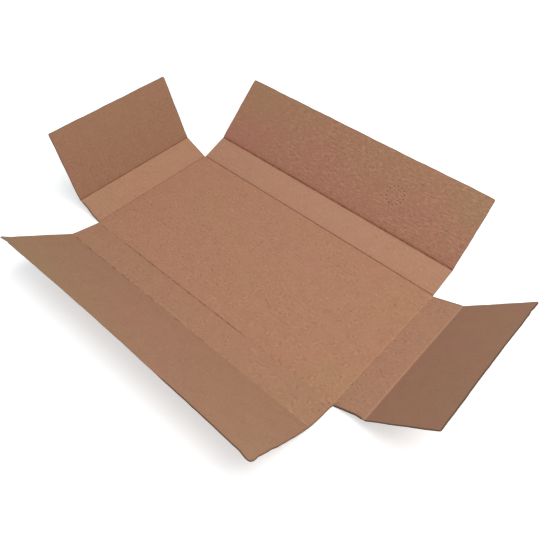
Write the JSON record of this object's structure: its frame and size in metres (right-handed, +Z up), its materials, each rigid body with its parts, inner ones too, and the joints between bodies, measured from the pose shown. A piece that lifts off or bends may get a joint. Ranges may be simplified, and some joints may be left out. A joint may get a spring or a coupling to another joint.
{
  "type": "flattened cardboard box",
  "caption": "One-piece corrugated folder box laid open, inside up: flat base, low creased walls, and a flap on each wall that folds at its crease.",
  "frame": {"origin": "centre of the underside of the base, on the surface that the box lies on", "axes": "+X along the long side of the base and along the flutes, towards the right flap; +Y towards the back flap; +Z up"},
  "size_m": [0.5645, 0.418, 0.1031],
  "materials": {
    "kraft_board": "matt brown kraft liner with fine fibres"
  },
  "bodies": {
    "sheet": {"base_and_walls": "kraft_board"},
    "left_flap": {"left_flap": "kraft_board"},
    "right_flap": {"right_flap": "kraft_board"},
    "front_flap": {"front_flap": "kraft_board"},
    "back_flap": {"back_flap": "kraft_board"}
  },
  "joints": [
    {"name": "left_flap_fold", "type": "hinge", "parent": "sheet", "child": "left_flap", "pos_m": [-0.23109, 0, 0.01732], "axis": [0, 1, 0], "range_deg": [-44, 46]},
    {"name": "right_flap_fold", "type": "hinge", "parent": "sheet", "child": "right_flap", "pos_m": [0.23188, 0, 0.01541], "axis": [0, -1, 0], "range_deg": [-24, 66]},
    {"name": "front_flap_fold", "type": "hinge", "parent": "sheet", "child": "front_flap", "pos_m": [0, -0.13509, 0.00845], "axis": [-1, 0, 0], "range_deg": [-24, 66]},
    {"name": "back_flap_fold", "type": "hinge", "parent": "sheet", "child": "back_flap", "pos_m": [0, 0.13337, 0.01476], "axis": [1, 0, 0], "range_deg": [-23.5, 66.5]}
  ]
}
